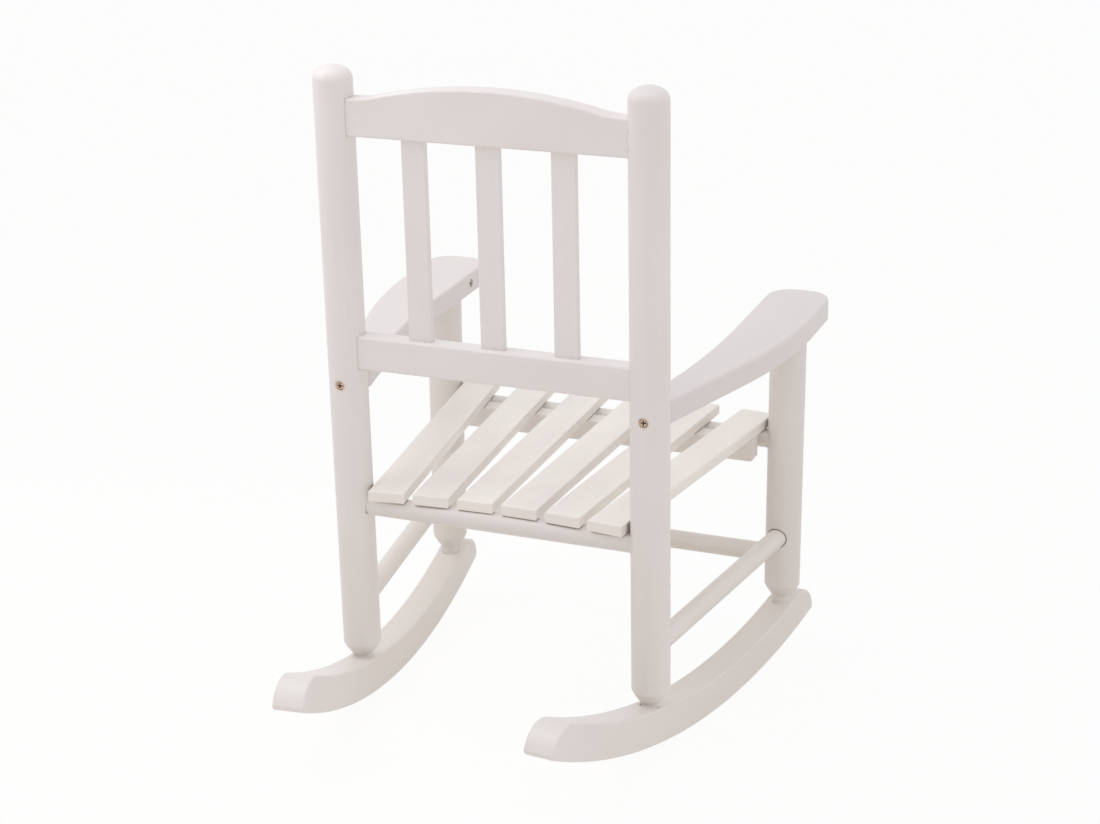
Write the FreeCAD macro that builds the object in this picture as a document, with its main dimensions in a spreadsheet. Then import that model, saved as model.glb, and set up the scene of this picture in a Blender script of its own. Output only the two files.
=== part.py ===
import FreeCAD, Part
import math
import os
import Sketcher
from FreeCAD import Vector

# A child's slat-back rocking chair in painted wood, in millimetres.
# +Z is up, the sitter faces -Y, and +X is on the sitter's left.
# The origin is on the floor, midway between the toes and heels of the rockers.

doc = FreeCAD.newDocument("rocking_chair")

# Driving dimensions: name, value, meaning. Angles are in degrees.
SIZES = [
    ("post_diameter", 33, "all four posts"),
    ("rear_post_spacing", 270.9, "between the axes of the rear posts"),
    ("front_post_spacing", 343.5, "between the axes of the front posts"),
    ("post_run", 266.52, "rear post axes forward to the front post axes, at the floor"),
    ("contact_to_rear", 81.94, "line the rockers stand on back to the rear post axes, at the floor"),
    ("rear_lean", 7.19, "rear posts, backwards from upright"),
    ("front_lean", 5.69, "front posts, backwards from upright"),
    ("rear_post_top", 567.13, "floor to the top of a rear post, along the post"),
    ("dome_corner", 10, "radius at the edge of a rear post's rounded top"),
    ("dome_crown", 2, "height of the flatter crown above that radius"),
    ("neck_diameter", 18, "turned neck at a post's foot and tenon at a front post's head"),
    ("neck_show", 5.4, "neck seen between a rocker and the taper"),
    ("foot_taper", 11.8, "height of the rounded taper above the neck"),
    ("foot_curve", 40, "radius of that taper, seen from the side"),
    ("foot_socket", 16, "depth of a post's foot in its rocker"),
    ("rocker_radius", 726, "curve that rolls on the floor"),
    ("rocker_depth", 31, "depth of a rocker, from its rolling curve to its upper curve"),
    ("rocker_width", 27, "thickness of the rocker board"),
    ("heel_reach", 279.64, "standing line back to the heel tip, along the rocker"),
    ("toe_reach", 228.72, "standing line forward to the toe tip, along the rocker"),
    ("heel_round", 26, "rounding of the heel's upper corner"),
    ("toe_round", 25, "rounding of the toe's upper corner"),
    ("tip_round", 4, "rounding of the heel's and toe's lower corners"),
    ("crest_drop", 56.9, "top of a rear post down to the crest rail's lower edge, along the back"),
    ("crest_end_height", 31.4, "height of the crest rail at the posts"),
    ("crest_rise", 13.7, "rise of the crest rail's curved top"),
    ("crest_flat", 1, "level shoulder of the crest rail beside each post"),
    ("crest_hollow", 100, "radius of the hollow at each end of the curved top"),
    ("crest_thickness", 17, "crest rail, front to back"),
    ("lower_rail_drop", 256.5, "top of a rear post down to the lower back rail's lower edge"),
    ("lower_rail_height", 29.1, "lower back rail"),
    ("lower_rail_thickness", 17, "lower back rail, front to back"),
    ("post_socket", 13, "depth of a rail or a stretcher in a post"),
    ("back_slat_width", 21, "upright slats of the back"),
    ("back_slat_thickness", 6.5, "upright slats of the back"),
    ("back_slat_pitch", 65, "between the middles of the upright slats"),
    ("slat_tenon", 9, "depth of an upright slat in a rail"),
    ("dowel_diameter", 17.6, "seat rails and stretchers"),
    ("rear_seat_rail_height", 184.43, "floor to the rear seat rail's axis, along the back"),
    ("front_seat_rail_height", 215.59, "floor to the front seat rail's axis, along the front posts"),
    ("front_stretcher_height", 101.59, "floor to the front stretcher's axis, along the front posts"),
    ("side_stretcher_rear", 88.43, "floor to a side stretcher's axis, along the rear post"),
    ("side_stretcher_front", 124.09, "floor to a side stretcher's axis, along the front post"),
    ("seat_slat_width", 32.2, "slats of the seat"),
    ("seat_slat_thickness", 10, "slats of the seat"),
    ("seat_slat_length", 302, "slats of the seat"),
    ("seat_pitch_rear", 40.4, "between the slats' middles over the rear seat rail"),
    ("seat_pitch_front", 54.8, "between the slats' middles over the front seat rail"),
    ("seat_overhang", 4.5, "rear seat rail's axis back to a slat's end, in the middle of the seat"),
    ("seat_bow", 1.2, "rearward shift of a slat, for each squared step from the middle"),
    ("batten_depth", 18, "batten under the seat, front to back"),
    ("batten_height", 21, "batten under the seat"),
    ("batten_length", 299, "batten under the seat"),
    ("batten_setback", 16, "front seat rail's axis back to the batten's front face"),
    ("arm_thickness", 21, "arm board"),
    ("arm_top", 343.59, "floor to the arm's top face, at the front post axis"),
    ("arm_lean", 8.24, "slope of the arm, down towards the back"),
    ("arm_width", 57.5, "arm at its wide front end"),
    ("arm_nose", 47, "front post axis forward to the tip of the arm"),
    ("arm_nose_round", 23, "corners of the arm's front end"),
    ("arm_socket", 12, "depth of a front post's tenon in its arm"),
    ("arm_rear_width", 25, "arm where it meets the rear post"),
    ("arm_rear_offset", -0.5, "middle of the arm's rear end outside the rear post axis"),
    ("arm_rear_round", 4, "corners of the arm's rear end"),
    ("arm_lap", 2, "reach of the arm's hollowed rear end around the rear post"),
    ("arm_outer_curve", 455, "radius of the outer edge's bend"),
    ("arm_outer_start", 18, "front post axis back to the start of the outer edge's bend"),
    ("arm_inner_start", 70, "front post axis back to the start of the inner edge's bend"),
    ("arm_ease", 2.6, "rounded edges of the arms"),
    ("board_ease", 2, "rounded edges of the rockers and rails"),
    ("slat_ease", 1.4, "rounded edges of the slats and the batten"),
    ("screw_diameter", 4, "shank of every screw"),
    ("screw_head", 8, "head of every screw"),
    ("screw_rim", 0.5, "straight edge of a head"),
    ("screw_cone", 2.2, "countersunk part of a head"),
    ("screw_point", 6, "tapered end of a screw"),
    ("screw_tip", 0.8, "blunt tip of a screw"),
    ("recess_span", 4.6, "cross recess, tip to tip"),
    ("recess_width", 1.1, "one arm of the cross recess"),
    ("recess_depth", 1.6, "cross recess"),
    ("face_sink", 0.6, "head of an arm screw below the wood around it"),
    ("hidden_sink", 1.2, "head of a seat screw below the wood around it"),
    ("rocker_sink", 3, "head of a rocker screw above the rolling curve"),
    ("arm_screw_drop", 9.3, "top of an arm down to the axis of its rear screw"),
    ("arm_bite", 26, "rear arm screw, length in the arm"),
    ("tenon_bite", 9, "screw length in a post's tenon"),
    ("slat_cover", 2.5, "wood left over the tip of a seat screw"),
    ("fit_gap", 0.1, "clearance around tenons, dowels and screws"),
    ("end_gap", 0.5, "clearance past the end of a tenon, dowel or screw"),
]

# Places worked out from the driving dimensions: name, formula.
LAYOUT = [
    ("post_radius", "sizes.post_diameter / 2"),
    ("dowel_radius", "sizes.dowel_diameter / 2"),
    ("neck_radius", "sizes.neck_diameter / 2"),
    ("rear_half", "sizes.rear_post_spacing / 2"),
    ("front_half", "sizes.front_post_spacing / 2"),
    ("rear_face", "rear_half - post_radius"),
    ("front_face", "front_half - post_radius"),
    # plan of the rockers, which toe out from the rear posts to the front posts
    ("splay", "atan((front_half - rear_half) / sizes.post_run)"),
    ("contact_x", "rear_half + sizes.contact_to_rear * tan(splay)"),
    ("contact_y", "(sizes.toe_reach - sizes.heel_reach) / 2 * cos(splay)"),
    ("rear_y", "contact_y + sizes.contact_to_rear"),
    ("front_y", "rear_y - sizes.post_run"),
    ("rear_along", "sizes.contact_to_rear / cos(splay)"),
    ("front_along", "(sizes.post_run - sizes.contact_to_rear) / cos(splay)"),
    # side view of a rocker, measured from the point that it stands on
    ("upper_radius", "sizes.rocker_radius - sizes.rocker_depth"),
    ("rear_top", "sizes.rocker_radius - sqrt(upper_radius ^ 2 - rear_along ^ 2)"),
    ("front_top", "sizes.rocker_radius - sqrt(upper_radius ^ 2 - front_along ^ 2)"),
    ("rear_under", "sizes.rocker_radius - sqrt(sizes.rocker_radius ^ 2 - rear_along ^ 2)"),
    ("front_under", "sizes.rocker_radius - sqrt(sizes.rocker_radius ^ 2 - front_along ^ 2)"),
    ("heel_turn", "asin(sizes.heel_reach / sizes.rocker_radius)"),
    ("toe_turn", "asin(sizes.toe_reach / sizes.rocker_radius)"),
    ("heel_z", "sizes.rocker_radius * (1 - cos(heel_turn))"),
    ("toe_z", "sizes.rocker_radius * (1 - cos(toe_turn))"),
    # the ends are cut square to both curves
    ("heel_upper_x", "-upper_radius * sin(heel_turn)"),
    ("heel_upper_z", "sizes.rocker_radius - upper_radius * cos(heel_turn)"),
    ("toe_upper_x", "upper_radius * sin(toe_turn)"),
    ("toe_upper_z", "sizes.rocker_radius - upper_radius * cos(toe_turn)"),
    # turned shape of the posts
    ("rear_foot", "rear_top - sizes.foot_socket"),
    ("front_foot", "front_top - sizes.foot_socket"),
    ("dome_inset", "post_radius - sizes.dome_corner"),
    ("dome_height", "sizes.dome_corner + sizes.dome_crown"),
    ("dome_curve", "(dome_inset ^ 2 + dome_height ^ 2 - sizes.dome_corner ^ 2) / (2 * sizes.dome_crown)"),
    ("dome_share", "dome_curve / (dome_curve - sizes.dome_corner)"),
    ("dome_join_x", "dome_inset * dome_share"),
    ("dome_join_z", "sizes.rear_post_top - dome_curve + (dome_curve - dome_height) * dome_share"),
    # back
    ("rail_end", "rear_face + sizes.post_socket"),
    ("crest_bottom", "sizes.rear_post_top - sizes.crest_drop"),
    ("crest_shoulder", "crest_bottom + sizes.crest_end_height"),
    ("crest_half", "rear_face - sizes.crest_flat"),
    ("crest_turn", "2 * atan(sizes.crest_rise / crest_half)"),
    ("crest_curve", "crest_half / sin(crest_turn) - sizes.crest_hollow"),
    ("crest_join_x", "crest_half - sizes.crest_hollow * sin(crest_turn)"),
    ("crest_join_z", "crest_shoulder + sizes.crest_hollow * (1 - cos(crest_turn))"),
    ("lower_rail_bottom", "sizes.rear_post_top - sizes.lower_rail_drop"),
    ("lower_rail_top", "lower_rail_bottom + sizes.lower_rail_height"),
    ("back_slat_bottom", "lower_rail_top - sizes.slat_tenon"),
    ("back_slat_length", "crest_bottom + sizes.slat_tenon - back_slat_bottom"),
    # seat plane, which rests on both seat rails
    ("rear_rail_y", "rear_y + sizes.rear_seat_rail_height * sin(sizes.rear_lean * 1 deg)"),
    ("rear_rail_z", "sizes.rear_seat_rail_height * cos(sizes.rear_lean * 1 deg)"),
    ("front_rail_y", "front_y + sizes.front_seat_rail_height * sin(sizes.front_lean * 1 deg)"),
    ("front_rail_z", "sizes.front_seat_rail_height * cos(sizes.front_lean * 1 deg)"),
    ("seat_slope", "atan((front_rail_z - rear_rail_z) / (rear_rail_y - front_rail_y))"),
    ("seat_span", "(rear_rail_y - front_rail_y) / cos(seat_slope)"),
    ("seat_y", "rear_rail_y + dowel_radius * sin(seat_slope)"),
    ("seat_z", "rear_rail_z + dowel_radius * cos(seat_slope)"),
    ("seat_fan", "(sizes.seat_pitch_front - sizes.seat_pitch_rear) / seat_span"),
    ("batten_y", "sizes.batten_setback + sizes.batten_depth / 2 - seat_span"),
    ("batten_pitch", "sizes.seat_pitch_rear - seat_fan * batten_y"),
    # side stretchers, from rear post axis to front post axis
    ("side_rear_y", "rear_y + sizes.side_stretcher_rear * sin(sizes.rear_lean * 1 deg)"),
    ("side_rear_z", "sizes.side_stretcher_rear * cos(sizes.rear_lean * 1 deg)"),
    ("side_front_y", "front_y + sizes.side_stretcher_front * sin(sizes.front_lean * 1 deg)"),
    ("side_front_z", "sizes.side_stretcher_front * cos(sizes.front_lean * 1 deg)"),
    ("side_splay", "atan((front_half - rear_half) / (side_rear_y - side_front_y))"),
    ("side_plan", "(side_rear_y - side_front_y) / cos(side_splay)"),
    ("side_rise", "atan((side_front_z - side_rear_z) / side_plan)"),
    ("side_span", "side_plan / cos(side_rise)"),
    # arms: the board's own plane, measured back from the front post axis on its top face
    ("arm_y", "front_y + sizes.arm_top * tan(sizes.front_lean * 1 deg)"),
    ("arm_front_tilt", "(sizes.arm_lean - sizes.front_lean) * 1 deg"),
    ("arm_rear_tilt", "(sizes.arm_lean - sizes.rear_lean) * 1 deg"),
    ("arm_pitch", "sizes.arm_lean * 1 deg"),
    ("arm_rear_height", "(sizes.arm_top * cos(arm_pitch) - sizes.arm_thickness / 2"
                        " - (rear_y - arm_y) * sin(arm_pitch)) / cos(arm_rear_tilt)"),
    ("arm_run", "(rear_y - arm_y) * cos(arm_pitch) + sizes.arm_top * sin(arm_pitch)"
                " - arm_rear_height * sin(arm_rear_tilt)"),
    ("arm_under", "sizes.arm_top / cos(sizes.front_lean * 1 deg)"
                  " - sizes.arm_thickness / cos(arm_front_tilt)"),
    ("front_post_top", "arm_under + sizes.arm_socket"),
    ("arm_inner", "front_half - sizes.arm_width / 2"),
    ("arm_outer", "front_half + sizes.arm_width / 2"),
    ("arm_rear_inner", "rear_half + sizes.arm_rear_offset - sizes.arm_rear_width / 2"),
    ("arm_rear_outer", "arm_rear_inner + sizes.arm_rear_width"),
    ("arm_end", "arm_run - post_radius + sizes.arm_lap"),
    ("arm_nose_back", "sizes.arm_nose_round - sizes.arm_nose"),
    ("inner_drop", "arm_inner - arm_rear_inner"),
    ("inner_curve", "(inner_drop ^ 2 + (arm_end - sizes.arm_inner_start) ^ 2) / (2 * inner_drop)"),
    ("outer_middle", "arm_outer - sizes.arm_outer_curve"),
    ("outer_reach", "sqrt((arm_rear_outer - outer_middle) ^ 2 + (arm_end - sizes.arm_outer_start) ^ 2)"),
    ("outer_turn", "atan((arm_end - sizes.arm_outer_start) / (arm_rear_outer - outer_middle))"
                   " - acos(sizes.arm_outer_curve / outer_reach)"),
    ("outer_join_x", "outer_middle + sizes.arm_outer_curve * cos(outer_turn)"),
    ("outer_join_y", "sizes.arm_outer_start + sizes.arm_outer_curve * sin(outer_turn)"),
    # screws
    ("arm_screw_length", "sizes.post_diameter - sizes.face_sink + sizes.arm_bite"),
    ("head_screw_length", "sizes.arm_width / 2 - neck_radius - sizes.face_sink + sizes.tenon_bite"),
    ("rocker_screw_length", "rear_foot - rear_under - sizes.rocker_sink + sizes.tenon_bite"),
    ("slat_bite", "sizes.seat_slat_thickness - sizes.slat_cover"),
    ("batten_screw_length", "sizes.batten_height - sizes.hidden_sink + slat_bite"),
    ("seat_screw_length", "sizes.dowel_diameter - sizes.hidden_sink + slat_bite"),
    ("screw_seat", "sizes.screw_rim + sizes.screw_cone"),
]

sizes = doc.addObject("Spreadsheet::Sheet", "sizes")
for row, (alias, value, meaning) in enumerate(SIZES, 1):
    sizes.set(f"A{row}", meaning)
    sizes.set(f"B{row}", str(value))
    sizes.setAlias(f"B{row}", alias)

layout = doc.addObject("Spreadsheet::Sheet", "layout")
for row, (alias, formula) in enumerate(LAYOUT, 1):
    layout.set(f"A{row}", "=" + formula)
    layout.setAlias(f"A{row}", alias)
doc.recompute()

# Frames in which the pieces lie: the back's plane, the front posts' plane,
# the underside of the seat slats, and the top face of the arms.
ROOM = "placement(vector(0; 0; 0); rotation(0; 0; 0))"
BACK = "placement(vector(0; layout.rear_y; 0); rotation(0; 0; -sizes.rear_lean))"
FRONT = "placement(vector(0; layout.front_y; 0); rotation(0; 0; -sizes.front_lean))"
SEAT = "placement(vector(0; layout.seat_y; layout.seat_z); rotation(0; 0; -layout.seat_slope))"
ARM = "placement(vector(0; layout.arm_y; sizes.arm_top); rotation(0; 0; -sizes.arm_lean))"

UPRIGHT = "rotation(0; 0; 0)"
ACROSS = "rotation(0; 90; 0)"
FORWARD = "rotation(0; 0; 90)"

SIDES = [("left", 1), ("right", -1)]
SEAT_STEPS = [-2.5, -1.5, -0.5, 0.5, 1.5, 2.5]
BACK_STEPS = [("left", 1), ("centre", 0), ("right", -1)]
STRAIGHT = (0, "")
SAME_PLACE = 1e-4

pieces = []


def number(formula):
    """The present value of a formula on the two sheets."""
    result = sizes.evalExpression(formula)
    return float(getattr(result, "Value", result))


def at(frame, x="0", y="0", z="0", turn=UPRIGHT):
    """A place inside a frame, as a formula."""
    return f"{frame} * placement(vector({x}; {y}; {z}); {turn})"


def arc_between(start, end, bend, radius):
    """The short arc from start to end; a positive bend runs anticlockwise."""
    chord = end - start
    normal = Vector(-chord.y, chord.x, 0).normalize()
    rise = math.sqrt(radius ** 2 - (chord.Length / 2) ** 2)
    middle = (start + end) / 2 + normal * (rise * bend)
    first, last = (start, end) if bend > 0 else (end, start)
    begin = math.atan2(first.y - middle.y, first.x - middle.x)
    finish = math.atan2(last.y - middle.y, last.x - middle.x)
    if finish < begin:
        finish += 2 * math.pi
    return Part.ArcOfCircle(Part.Circle(middle, Vector(0, 0, 1), radius), begin, finish)


def outline(body, plane, corners):
    """A closed sketch whose corners and arc radii are bound to the sheets.

    Each corner is (x, y, edge to the next corner); an edge is STRAIGHT or (bend, radius).
    """
    support = next(item for item in body.Origin.OriginFeatures if item.Role == plane)
    sketch = body.newObject("Sketcher::SketchObject", body.Name + "_outline")
    sketch.AttachmentSupport = [(support, "")]
    sketch.MapMode = "FlatFace"
    points = [Vector(number(x), number(y), 0) for x, y, edge in corners]
    starts = []
    ends = []
    for index, (x, y, (bend, radius)) in enumerate(corners):
        start = points[index]
        end = points[(index + 1) % len(points)]
        if bend:
            sketch.addGeometry(arc_between(start, end, bend, number(radius)))
        else:
            sketch.addGeometry(Part.LineSegment(start, end))
        starts.append(2 if bend < 0 else 1)
        ends.append(1 if bend < 0 else 2)
    for index, (x, y, (bend, radius)) in enumerate(corners):
        before = (index - 1) % len(points)
        sketch.addConstraint(
            Sketcher.Constraint("Coincident", before, ends[before], index, starts[index]))
        bound = [("DistanceX", points[index].x, x), ("DistanceY", points[index].y, y)]
        for kind, value, formula in bound:
            place = sketch.addConstraint(Sketcher.Constraint(kind, index, starts[index], value))
            sketch.setExpression(f"Constraints[{place}]", formula)
        if bend:
            place = sketch.addConstraint(Sketcher.Constraint("Radius", index, number(radius)))
            sketch.setExpression(f"Constraints[{place}]", radius)
    return sketch


def turned(name, corners):
    """A body turned about its own upright axis."""
    body = doc.addObject("PartDesign::Body", name)
    sketch = outline(body, "XZ_Plane", corners)
    turning = body.newObject("PartDesign::Revolution", name + "_turning")
    turning.Profile = sketch
    turning.ReferenceAxis = (sketch, ["V_Axis"])
    doc.recompute()
    return body


def rounded(body, base, picked, radius):
    """The edges that picked() accepts, rounded."""
    names = [f"Edge{index}" for index, edge in enumerate(base.Shape.Edges, 1) if picked(edge)]
    fillet = body.newObject("PartDesign::Fillet", base.Name + "_rounded")
    fillet.Base = (base, names)
    fillet.setExpression("Radius", radius)
    doc.recompute()
    return fillet


def board(name, plane, corners, thickness, ease, place, corner_rounds=()):
    """A board sawn to an outline, with eased edges, lying evenly about its plane."""
    body = doc.addObject("PartDesign::Body", name)
    sketch = outline(body, plane, corners)
    sawn = body.newObject("PartDesign::Pad", name + "_sawn")
    sawn.Profile = sketch
    sawn.SideType = "Symmetric"
    sawn.setExpression("Length", thickness)
    doc.recompute()

    def on_board(point):
        return (point.x, point.z, point.y) if plane == "XZ_Plane" else (point.x, point.y, point.z)

    def is_corner(edge, x, y):
        spots = [on_board(vertex.Point) for vertex in edge.Vertexes]
        return all(math.hypot(spot[0] - x, spot[1] - y) < SAME_PLACE for spot in spots)

    def on_a_face(edge):
        half = number(thickness) / 2
        spots = [on_board(edge.valueAt(edge.FirstParameter)), on_board(edge.valueAt(edge.LastParameter))]
        return (abs(abs(spots[0][2]) - half) < SAME_PLACE
                and abs(spots[0][2] - spots[1][2]) < SAME_PLACE)

    shaped = sawn
    for x, y, radius in corner_rounds:
        spot = (number(x), number(y))
        shaped = rounded(body, shaped, lambda edge: is_corner(edge, *spot), radius)
    rounded(body, shaped, on_a_face, ease)
    body.setExpression("Placement", place)
    return body


def rectangle(left, right, low, high):
    """Corners of a rectangle for an outline."""
    return [(left, low, STRAIGHT), (right, low, STRAIGHT), (right, high, STRAIGHT), (left, high, STRAIGHT)]


def rod(name, radius, length, place):
    """A round bar that starts at a place and runs along its upright axis."""
    bar = doc.addObject("Part::Cylinder", name)
    bar.setExpression("Radius", radius)
    bar.setExpression("Height", length)
    bar.setExpression("Placement", place)
    return bar


def block(name, across, deep, tall, place):
    """A block standing on a place, centred across and from front to back."""
    box = doc.addObject("Part::Box", name)
    box.setExpression("Length", across)
    box.setExpression("Width", deep)
    box.setExpression("Height", tall)
    box.setExpression("Placement", at(place, f"-({across}) / 2", f"-({deep}) / 2"))
    return box


def room_for(name, rods_radius, length, place):
    """The socket that a round bar needs: wider all round, and longer at both ends."""
    return rod(name, f"{rods_radius} + sizes.fit_gap", f"{length} + 2 * sizes.end_gap",
               at(place, z="-sizes.end_gap"))


def finished(label, piece):
    """Take a piece into the chair under its own name."""
    piece.Label = label
    pieces.append(piece)
    return piece


def carved(label, blank, *tools):
    """A piece cut from its blank by every tool."""
    waste = tools[0]
    if len(tools) > 1:
        waste = doc.addObject("Part::MultiFuse", label + "_waste")
        waste.Shapes = list(tools)
    cut = doc.addObject("Part::Cut", label + "_cut")
    cut.Base = blank
    cut.Tool = waste
    return finished(label, cut)


def copies(name, original, places):
    """Separate copies of one solid, together in one group."""
    group = []
    for place in places:
        copy = doc.addObject("App::Link", name + "_copy")
        copy.LinkedObject = original
        copy.setExpression("Placement", place)
        group.append(copy)
    bundle = doc.addObject("Part::Compound", name)
    bundle.Links = group
    return bundle


def screws(label, length, places):
    """A group of like screws, finished; returns the holes that they need.

    A screw starts at the flat top of its head and is driven along its upright axis.
    """
    head = "sizes.screw_head / 2"
    shank = "sizes.screw_diameter / 2"
    blank = turned(label + "_blank", [
        ("0", "0", STRAIGHT),
        (head, "0", STRAIGHT),
        (head, "sizes.screw_rim", STRAIGHT),
        (shank, "layout.screw_seat", STRAIGHT),
        (shank, f"{length} - sizes.screw_point", STRAIGHT),
        ("sizes.screw_tip / 2", length, STRAIGHT),
        ("0", length, STRAIGHT),
    ])
    first = block(label + "_slot", "sizes.recess_span", "sizes.recess_width", "sizes.recess_depth", ROOM)
    second = block(label + "_cross", "sizes.recess_width", "sizes.recess_span", "sizes.recess_depth", ROOM)
    recess = doc.addObject("Part::MultiFuse", label + "_recess")
    recess.Shapes = [first, second]
    screw = doc.addObject("Part::Cut", label + "_single")
    screw.Base = blank
    screw.Tool = recess
    wide_head = f"{head} + sizes.fit_gap"
    wide_shank = f"{shank} + sizes.fit_gap"
    hole_end = f"{length} + sizes.end_gap"
    hole = turned(label + "_hole", [
        ("0", "-sizes.screw_head", STRAIGHT),
        (wide_head, "-sizes.screw_head", STRAIGHT),
        (wide_head, "sizes.screw_rim", STRAIGHT),
        (wide_shank, "layout.screw_seat", STRAIGHT),
        (wide_shank, hole_end, STRAIGHT),
        ("0", hole_end, STRAIGHT),
    ])
    finished(label, copies(label + "_set", screw, places))
    return copies(label + "_holes", hole, places)


# Screws, each group with the holes that it needs
arm_rear_holes = screws("arm_rear_screws", "layout.arm_screw_length", [
    at(ARM, f"{sign} * layout.rear_half", "layout.arm_run + layout.post_radius - sizes.face_sink",
       "-sizes.arm_screw_drop", FORWARD)
    for side, sign in SIDES])
arm_front_holes = screws("arm_front_screws", "layout.head_screw_length", [
    at(ARM, f"{sign} * (layout.arm_inner + sizes.face_sink)",
       "sizes.arm_thickness / 2 * tan(layout.arm_front_tilt)", "-sizes.arm_thickness / 2",
       f"rotation(0; {sign} * 90; 0)")
    for side, sign in SIDES])
rocker_holes = screws("rocker_screws", "layout.rocker_screw_length", [
    at(frame, f"{sign} * layout.{end}_half", z=f"layout.{end}_under + sizes.rocker_sink")
    for end, frame in (("rear", BACK), ("front", FRONT)) for side, sign in SIDES])
batten_holes = screws("batten_screws", "layout.batten_screw_length", [
    at(SEAT, f"{step} * layout.batten_pitch", "layout.batten_y", "sizes.hidden_sink - sizes.batten_height")
    for step in SEAT_STEPS])
seat_rail_holes = screws("seat_rail_screws", "layout.seat_screw_length", [
    at(SEAT, f"{step} * sizes.seat_pitch_{end}", along, "sizes.hidden_sink - sizes.dowel_diameter")
    for end, along in (("rear", "0"), ("front", "-layout.seat_span")) for step in SEAT_STEPS])

# Seat rails and stretchers, and the sockets that they need
rear_rail_length = "2 * layout.rail_end"
front_rail_length = "2 * (layout.front_face + sizes.post_socket)"
rear_rail_place = at(BACK, f"-({rear_rail_length}) / 2", z="sizes.rear_seat_rail_height", turn=ACROSS)
front_rail_place = at(FRONT, f"-({front_rail_length}) / 2", z="sizes.front_seat_rail_height", turn=ACROSS)
stretcher_place = at(FRONT, f"-({front_rail_length}) / 2", z="sizes.front_stretcher_height", turn=ACROSS)
rear_rail = rod("rear_rail_blank", "layout.dowel_radius", rear_rail_length, rear_rail_place)
front_rail = rod("front_rail_blank", "layout.dowel_radius", front_rail_length, front_rail_place)
rear_rail_room = room_for("rear_rail_room", "layout.dowel_radius", rear_rail_length, rear_rail_place)
front_rail_room = room_for("front_rail_room", "layout.dowel_radius", front_rail_length, front_rail_place)
stretcher_room = room_for("stretcher_room", "layout.dowel_radius", front_rail_length, stretcher_place)
carved("rear_seat_rail", rear_rail, seat_rail_holes)
carved("front_seat_rail", front_rail, seat_rail_holes)
finished("front_stretcher",
         rod("front_stretcher_rod", "layout.dowel_radius", front_rail_length, stretcher_place))

side_length = "layout.side_span - 2 * (layout.post_radius - sizes.post_socket)"
side_rooms = {}
for side, sign in SIDES:
    side_place = at(
        at(ROOM, f"{sign} * layout.rear_half", "layout.side_rear_y", "layout.side_rear_z",
           f"rotation({sign} * layout.side_splay - 90 deg; 90 deg - layout.side_rise; 0)"),
        z="layout.post_radius - sizes.post_socket")
    finished(f"side_stretcher_{side}",
             rod(f"side_stretcher_{side}_rod", "layout.dowel_radius", side_length, side_place))
    side_rooms[side] = room_for(f"side_stretcher_{side}_room", "layout.dowel_radius", side_length, side_place)

# Back rails with their curved and straight edges, and the mortises that their ends need
crest = board("crest_blank", "XZ_Plane", [
    ("-layout.rail_end", "layout.crest_bottom", STRAIGHT),
    ("layout.rail_end", "layout.crest_bottom", STRAIGHT),
    ("layout.rail_end", "layout.crest_shoulder", STRAIGHT),
    ("layout.crest_half", "layout.crest_shoulder", (-1, "sizes.crest_hollow")),
    ("layout.crest_join_x", "layout.crest_join_z", (1, "layout.crest_curve")),
    ("-layout.crest_join_x", "layout.crest_join_z", (-1, "sizes.crest_hollow")),
    ("-layout.crest_half", "layout.crest_shoulder", STRAIGHT),
    ("-layout.rail_end", "layout.crest_shoulder", STRAIGHT),
], "sizes.crest_thickness", "sizes.board_ease", BACK)
lower_rail = board("lower_rail_blank", "XZ_Plane", rectangle(
    "-layout.rail_end", "layout.rail_end", "layout.lower_rail_bottom", "layout.lower_rail_top",
), "sizes.lower_rail_thickness", "sizes.board_ease", BACK)
mortise_length = "2 * (layout.rail_end + sizes.end_gap)"
crest_room = block(
    "crest_room", mortise_length, "sizes.crest_thickness + 2 * sizes.fit_gap",
    "sizes.crest_end_height + 2 * sizes.fit_gap", at(BACK, z="layout.crest_bottom - sizes.fit_gap"))
lower_rail_room = block(
    "lower_rail_room", mortise_length, "sizes.lower_rail_thickness + 2 * sizes.fit_gap",
    "sizes.lower_rail_height + 2 * sizes.fit_gap", at(BACK, z="layout.lower_rail_bottom - sizes.fit_gap"))

# Upright slats of the back, and their mortises in both rails
back_slat_rooms = []
for name, step in BACK_STEPS:
    middle = f"{step} * sizes.back_slat_pitch"
    finished(f"back_slat_{name}", board(f"back_slat_{name}_body", "XZ_Plane", rectangle(
        "-sizes.back_slat_width / 2", "sizes.back_slat_width / 2", "0", "layout.back_slat_length",
    ), "sizes.back_slat_thickness", "sizes.slat_ease", at(BACK, middle, z="layout.back_slat_bottom")))
    back_slat_rooms.append(block(
        f"back_slat_{name}_room", "sizes.back_slat_width + 2 * sizes.fit_gap",
        "sizes.back_slat_thickness + 2 * sizes.fit_gap", "layout.back_slat_length + 2 * sizes.end_gap",
        at(BACK, middle, z="layout.back_slat_bottom - sizes.end_gap")))
carved("crest_rail", crest, *back_slat_rooms)
carved("lower_back_rail", lower_rail, *back_slat_rooms)

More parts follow.
